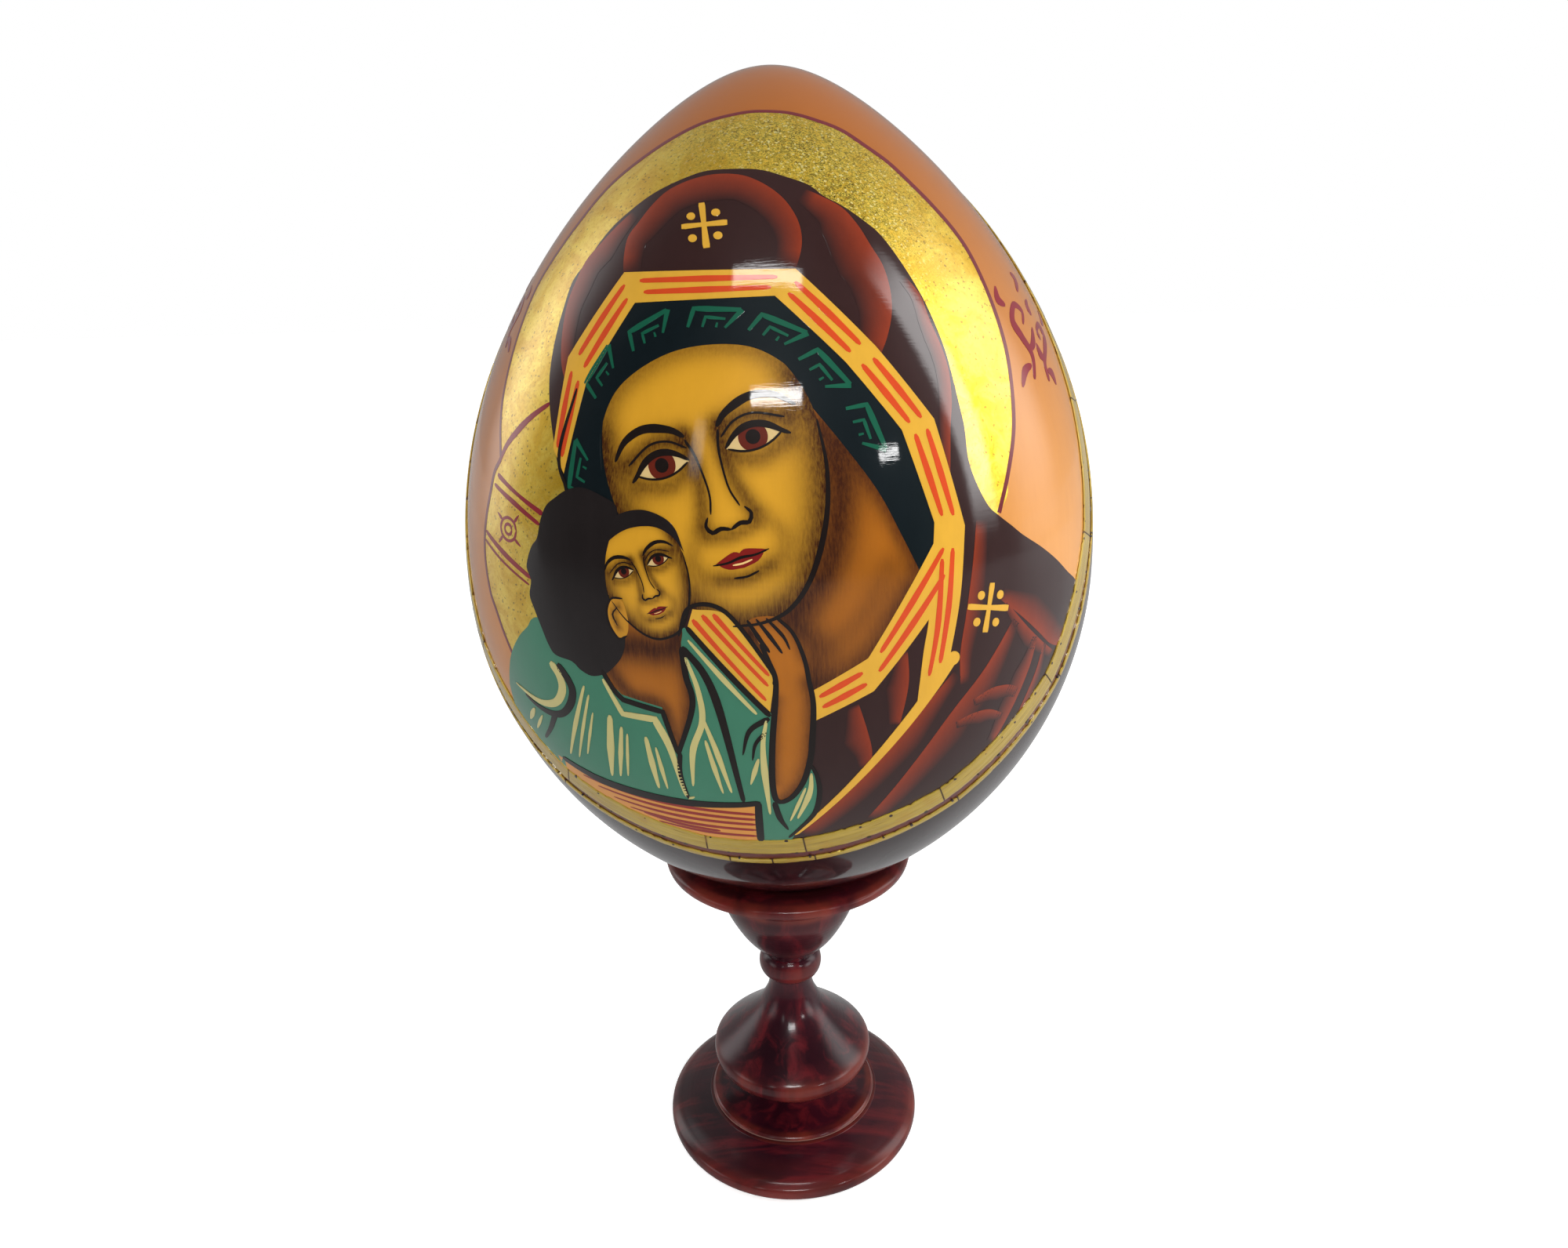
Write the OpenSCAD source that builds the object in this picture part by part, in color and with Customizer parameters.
// Large turned wooden icon egg on a turned stand.
// The egg lifts off a loose dowel in the stand. Gold leaf and two rows of
// golden straw strips lie on the egg. +Z is up and z = 0 is the table.

/* [Egg] */
// Largest radius of the egg
egg_rad = 66; // [60:0.5:70]
// Height of the egg's widest ring above the table
egg_mid = 149; // [146:0.5:152]
// Egg height above its widest ring
egg_up = 96; // [90:0.5:100]
// Egg depth below its widest ring
egg_down = 78; // [77.5:0.1:78.5]
// How much the upper half narrows towards its tip
tip_taper = 0.26; // [0.2:0.01:0.28]
// How much the tip itself is drawn to a point
tip_point = 0.08; // [0:0.01:0.1]
// Sharpness of the egg's lower end
base_power = 0.6; // [0.55:0.01:0.62]

/* [Dowel] */
// Radius of the loose dowel that the egg drops onto
dowel_rad = 4; // [3:0.5:5]
// Running clearance around the dowel
dowel_gap = 0.05; // [0.02:0.01:0.1]
// Height of the dowel's lower end
dowel_low = 56; // [52:1:60]
// Height of the dowel's upper end
dowel_top = 92; // [85:1:110]
// Free depth past each end of the dowel
dowel_end_gap = 0.4; // [0.3:0.1:1]

/* [Saucer] */
// Outer radius of the saucer
saucer_rad = 29.4; // [28:0.1:31]
// Height of the saucer's rim
rim_z = 77; // [76.6:0.1:77.4]
// Height of the saucer's underside on the stem
saucer_foot_z = 66.4; // [66:0.1:67]
// Gap between the egg and its seat
seat_gap = 0.3; // [0.3:0.05:0.6]

/* [Stem] */
// Radius of the stem's round foot
foot_rad = 21; // [20.5:0.1:22]
// Radius of the stem's skirt at its lower rim
skirt_rad = 20; // [19:0.1:20.4]
// Radius of the tenon that goes through the saucer
top_tenon_rad = 8; // [7:0.5:9]
// Radius of the tenon that goes into the base
foot_tenon_rad = 9; // [8:0.5:12]

/* [Base] */
// Outer radius of the base disc
base_rad = 32; // [31.5:0.1:36]
// Height of the base disc where the stem stands on it
base_top = 6.3; // [6:0.1:6.5]
// Depth of the socket for the stem's tenon
base_socket = 4.5; // [3:0.1:5]

/* [Gold] */
// Turn of the gold border to the egg's left
ring_turn = -6; // [-15:1:15]
// Backward tilt of the gold border
ring_tilt = 25; // [20:1:30]
// Width of the wide straw strips
wide_w = 5.2; // [4:0.1:6]
// Width of the thin straw strips
thin_w = 1.7; // [1:0.1:2.5]
// Lacquered gap between the two rows
row_gap = 2.4; // [1.5:0.1:4]
// Thickness of a straw strip
straw_t = 0.25; // [0.2:0.01:0.4]
// Thickness of the gold leaf with its size
leaf_t = 0.1; // [0.08:0.01:0.2]
// Thickness of the glue line under straw and leaf
glue_t = 0.08; // [0.03:0.01:0.1]

/* [Hidden] */
$fn = 96;
tip_power = 2.35;              // how late the upper half starts to narrow
point_power = 6;               // how late the tip starts to be drawn to a point
curve_steps = 26;              // straight steps along each turned curve

// Border: an oval ring round a centre inside the egg, waved by ring_wave.
ring_mid = [0, -22, 174];
ring_wave = 2;
wide_joints = [-9, 5, 26, 50, 75, 100, 125, 150, 175, 200, 226, 252, 278, 303, 328];
thin_joints = [-6, 0, 6, 28, 52, 76, 101, 126, 151, 176, 201, 226, 251, 276, 301, 327];
strip_steps = 10;              // cells along a strip
strip_cells = 3;               // cells across a strip

// Gold-leaf oval, as seen from the front: centre and half sizes.
leaf_x = -6.5;
leaf_z = 172;
leaf_half_w = 47;
leaf_half_h = 61;
leaf_cells = 34;               // cells across and up the leaf

wide_mid = wide_w / 2;
thin_mid = wide_w + row_gap + thin_w / 2;
saucer_seat_rad = 18.2;        // where the saucer's top meets the egg's seat
seat_top_z = rim_z - 1.8;      // height of the saucer's top there

// ---------- the egg's surface ----------

function egg_r(z) =
    let (up = (z - egg_mid) / egg_up, down = (egg_mid - z) / egg_down)
    z > egg_mid
        ? egg_rad * sqrt(max(0, 1 - up * up))
            * (1 - tip_taper * pow(min(up, 1), tip_power) - tip_point * pow(min(up, 1), point_power))
        : egg_rad * pow(max(0, 1 - down * down), base_power);

// Point of the egg's skin at height z in direction (x, y), raised by h.
function skin(x, y, z, h = 0) =
    let (
        dz = 0.1,
        slope = (egg_r(z + dz) - egg_r(z - dz)) / (2 * dz),
        out = [x, y] / norm([x, y]),
        tilt = sqrt(1 + slope * slope),
        r = egg_r(z))
    [out.x * (r + h / tilt), out.y * (r + h / tilt), z - h * slope / tilt];

egg_outline = concat(
    [for (i = [0:curve_steps]) let (a = -90 + 90 * i / curve_steps)
        [egg_rad * pow(cos(a), 2 * base_power), egg_mid + egg_down * sin(a)]],
    [for (i = [1:curve_steps]) let (a = 90 * i / curve_steps)
        [egg_r(egg_mid + egg_up * sin(a)), egg_mid + egg_up * sin(a)]]);

module egg_body() {
    color("darkorange")
    difference() {
        rotate_extrude() polygon(egg_outline);
        translate([0, 0, egg_mid - egg_down - 1])
            cylinder(r = dowel_rad + dowel_gap, h = dowel_top + dowel_end_gap - egg_mid + egg_down + 1);
    }
}

// ---------- dowel and stand ----------

module locating_dowel() {
    color("burlywood")
    translate([0, 0, dowel_low]) cylinder(r = dowel_rad, h = dowel_top - dowel_low);
}

// Quarter of an ellipse from its lowest point (a = 0) to its side (a = 90).
function quarter(cx, cz, rx, rz, from = 0, to = 90, n = 10) =
    [for (i = [0:n]) let (a = from + (to - from) * i / n) [cx + rx * sin(a), cz - rz * cos(a)]];

// Smooth curve through the points p, by Catmull-Rom pieces.
function smooth(p, n = 4) =
    let (last = len(p) - 1)
    concat([for (i = [0:last - 1], k = [0:n - 1])
        let (
            t = k / n,
            a = p[max(i - 1, 0)], b = p[i], c = p[i + 1], d = p[min(i + 2, last)])
        0.5 * (2 * b + (c - a) * t + (2 * a - 5 * b + 4 * c - d) * t * t
            + (3 * b - 3 * c + d - a) * t * t * t)],
        [p[last]]);

// The seat follows the egg's lower end, seat_gap outside it.
seat_low_z = egg_mid - egg_down - seat_gap;
seat_outline = [for (i = [0:10])
    let (z = seat_top_z - (seat_top_z - seat_low_z - 0.6) * i / 10)
    [egg_r(z + seat_gap) + seat_gap, z]];

module saucer() {
    color("firebrick")
    rotate_extrude()
    polygon(concat(
        [[top_tenon_rad, saucer_foot_z]],
        smooth([[17.6, saucer_foot_z], [18.8, 68], [22, 70.1], [25.6, 72.1], [saucer_rad - 0.3, 74.55]]),
        quarter(saucer_rad - 1.2, rim_z - 1.4, 1.2, 1.1, 75, 150),
        smooth([[27.4, rim_z - 0.05], [24.6, rim_z], [21.6, rim_z - 0.45], [saucer_seat_rad, seat_top_z]]),
        [for (p = seat_outline) if (p.x > top_tenon_rad && p.x < saucer_seat_rad) p],
        [[top_tenon_rad, seat_low_z + 0.9]]));
}

stem_outline = concat(
    [[0, base_top - base_socket], [foot_tenon_rad, base_top - base_socket], [foot_tenon_rad, base_top]],
    [[foot_rad - 0.3, base_top], [foot_rad, base_top + 0.3], [foot_rad - 0.2, base_top + 0.8]],
    [for (a = [90:-9:0]) [20.4 - 11.4 * cos(a), 13 - 5.6 * sin(a)]],
    quarter(9, 19, skirt_rad - 9, 6, 8),
    smooth([[skirt_rad, 19.4], [19.6, 20.9], [17.2, 23.2], [14.7, 25.3], [12.3, 27.4], [10.1, 29.5],
        [8.2, 31.7], [6.9, 33.8], [5.9, 36], [5.4, 38.2], [5.5, 40.3]], 3),
    quarter(5, 44, 2.8, 3.6, 15, 155, 14),
    smooth([[6.7, 47.4], [7.9, 48.9], [11.1, 52.6], [13.8, 57], [16, 61.8], [17, saucer_foot_z]]),
    [[top_tenon_rad, saucer_foot_z], [top_tenon_rad, seat_low_z], [0, seat_low_z]]);

module turned_stem() {
    color("brown")
    difference() {
        rotate_extrude() polygon(stem_outline);
        translate([0, 0, dowel_low - dowel_end_gap])
            cylinder(r = dowel_rad + dowel_gap, h = seat_low_z - dowel_low + 2);
    }
}

module base_disc() {
    color("maroon")
    rotate_extrude()
    polygon(concat(
        [[0, 0], [base_rad - 0.6, 0]],
        quarter(base_rad - 0.6, 1, 0.6, 1, 20, 90, 6),
        quarter(base_rad - 0.6, 1, 0.6, 1.6, 100, 160, 6),
        smooth([[base_rad - 1.7, 3.5], [27, 4.8], [23, 5.8], [foot_rad + 0.4, base_top - 0.1]]),
        [[foot_rad - 0.2, base_top], [foot_tenon_rad, base_top]],
        [[foot_tenon_rad, base_top - base_socket], [0, base_top - base_socket]]));
}

// ---------- gold on the egg ----------

ring_out = [cos(ring_tilt) * sin(ring_turn), -cos(ring_tilt) * cos(ring_turn), sin(ring_tilt)];
ring_side = [cos(ring_turn), sin(ring_turn), 0];
ring_up = cross(ring_out, ring_side);

function inside(p) = norm([p.x, p.y]) < egg_r(p.z);
function edge_along(a, dir, lo = 0, hi = 110, n = 30) =
    n == 0 ? lo
    : let (m = (lo + hi) / 2) inside(a + dir * m)
        ? edge_along(a, dir, m, hi, n - 1)
        : edge_along(a, dir, lo, m, n - 1);

// The point of the skin straight out from the egg's middle through p.
function on_skin(p) =
    let (middle = [0, 0, egg_mid], dir = (p - middle) / norm(p - middle))
    middle + dir * edge_along(middle, dir);

// Point on the border's inner edge at turn t from its lowest point.
function ring_point(t) =
    let (a = ring_mid + ring_out * ring_wave * cos(3 * t), dir = ring_side * sin(t) - ring_up * cos(t))
    a + dir * edge_along(a, dir);

// The same, moved k outwards over the skin.
function row_point(t, k) =
    let (
        p = ring_point(t),
        along = ring_point(t + 1) - ring_point(t - 1),
        up = skin(p.x, p.y, p.z, 1) - skin(p.x, p.y, p.z),
        across = cross(along, up))
    on_skin(p + across / norm(across) * k);

// A film on the skin: a grid of points, rows by columns, as a closed thin solid.
module film(grid, t) {
    rows = len(grid);
    cols = len(grid[0]);
    n = rows * cols;
    spots = [for (row = grid, p = row) on_skin(p)];
    points = concat(
        [for (p = spots) skin(p.x, p.y, p.z, glue_t)],
        [for (p = spots) skin(p.x, p.y, p.z, glue_t + t)]);
    low = [for (i = [0:rows - 2], j = [0:cols - 2])
        [i * cols + j, i * cols + j + 1, (i + 1) * cols + j + 1, (i + 1) * cols + j]];
    rim = concat(
        [for (j = [0:cols - 1]) j],
        [for (i = [1:rows - 1]) i * cols + cols - 1],
        [for (j = [cols - 2:-1:0]) (rows - 1) * cols + j],
        [for (i = [rows - 2:-1:1]) i * cols]);
    m = len(rim);
    polyhedron(points, concat(
        [for (f = low) [f[0], f[1], f[2]]],
        [for (f = low) [f[0], f[2], f[3]]],
        [for (f = low) [f[2] + n, f[1] + n, f[0] + n]],
        [for (f = low) [f[3] + n, f[2] + n, f[0] + n]],
        [for (i = [0:m - 1]) [rim[(i + 1) % m], rim[i], rim[i] + n]],
        [for (i = [0:m - 1]) [rim[(i + 1) % m], rim[i] + n, rim[(i + 1) % m] + n]]));
}

// One straight strip between two joints of a row.
module strip(joints, i, mid, w) {
    last = len(joints) - 1;
    from = joints[i];
    to = i == last ? joints[0] + 360 : joints[i + 1];
    a0 = row_point(from, mid + w / 2);
    a1 = row_point(from, mid - w / 2);
    b0 = row_point(to, mid + w / 2);
    b1 = row_point(to, mid - w / 2);
    film([for (s = [0:strip_steps]) [for (c = [0:strip_cells])
        let (u = s / strip_steps, v = c / strip_cells)
        (a0 * (1 - u) + b0 * u) * (1 - v) + (a1 * (1 - u) + b1 * u) * v]], straw_t);
}

// A square grid pulled round into an oval.
module gold_leaf_oval() {
    color("gold")
    film([for (i = [0:leaf_cells]) [for (j = [0:leaf_cells])
        let (
            u = 2 * i / leaf_cells - 1,
            v = 2 * j / leaf_cells - 1,
            x = leaf_x + leaf_half_w * u * sqrt(1 - v * v / 2),
            z = leaf_z + leaf_half_h * v * sqrt(1 - u * u / 2),
            r = egg_r(z))
        [x, -sqrt(r * r - x * x), z]]], leaf_t);
}

egg_body();
locating_dowel();
saucer();
turned_stem();
base_disc();
gold_leaf_oval();
for (i = [0:len(wide_joints) - 1])
    color("goldenrod") strip(wide_joints, i, wide_mid, wide_w);
for (i = [0:len(thin_joints) - 1])
    color("khaki") strip(thin_joints, i, thin_mid, thin_w);
